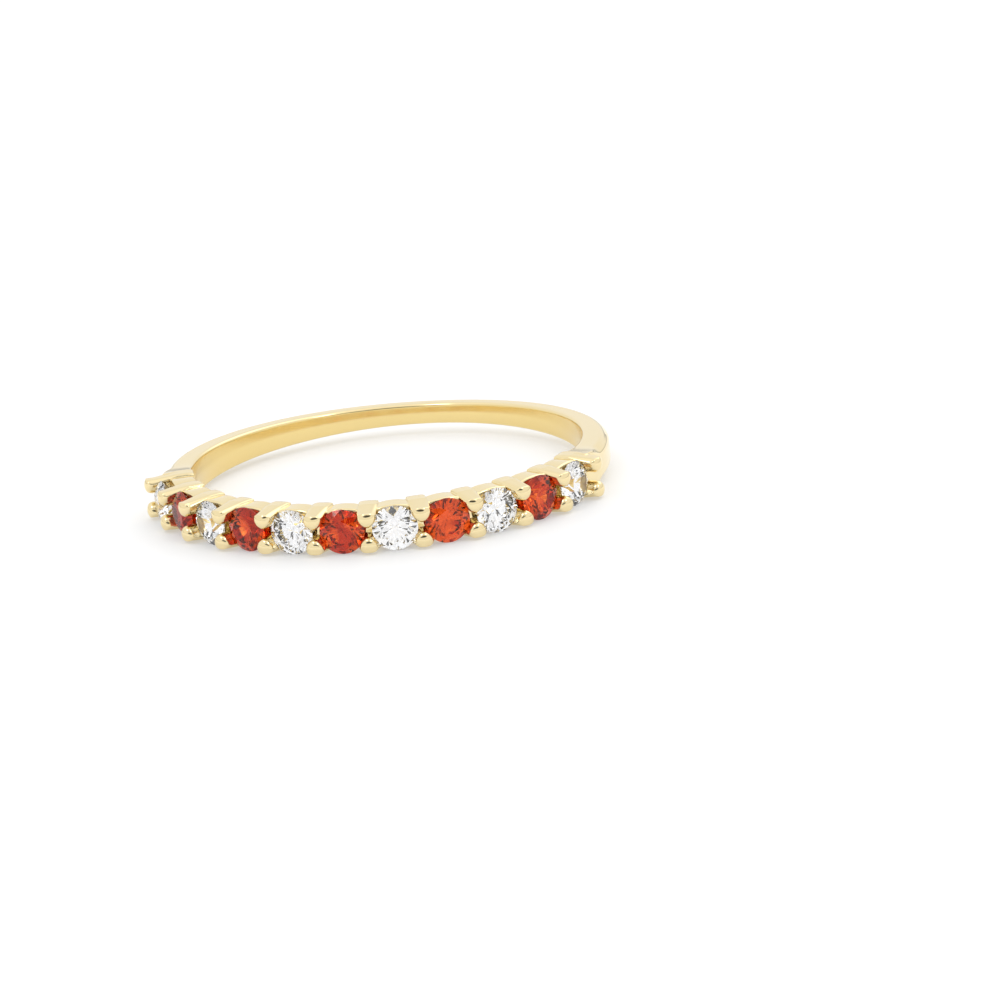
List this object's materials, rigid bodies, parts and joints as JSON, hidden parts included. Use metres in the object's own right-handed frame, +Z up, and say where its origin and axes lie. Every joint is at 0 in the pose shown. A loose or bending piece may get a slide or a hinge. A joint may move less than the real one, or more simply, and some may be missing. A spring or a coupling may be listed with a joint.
{
  "type": "stackable ring",
  "caption": "Slim gold finger ring with a row of alternating clear and orange-red round stones held by shared prongs across its front half, and a plain tapered shank.",
  "frame": {"origin": "centre of the ring's outline on the surface that it lies on", "axes": "+Z up along the finger's axis, the row of stones faces -Y, +X to the right of someone facing the stones"},
  "size_m": [0.0204, 0.0202, 0.002],
  "materials": {
    "gold": "polished yellow gold plating",
    "white_stone": "clear faceted zirconia",
    "orange_stone": "orange-red faceted zirconia"
  },
  "bodies": {
    "root": {"band": "gold", "white_stone_1": "white_stone", "orange_stone_1": "orange_stone", "white_stone_2": "white_stone", "orange_stone_2": "orange_stone", "white_stone_3": "white_stone", "orange_stone_3": "orange_stone", "white_stone_4": "white_stone", "orange_stone_4": "orange_stone", "white_stone_5": "white_stone", "orange_stone_5": "orange_stone", "white_stone_6": "white_stone"}
  },
  "joints": []
}
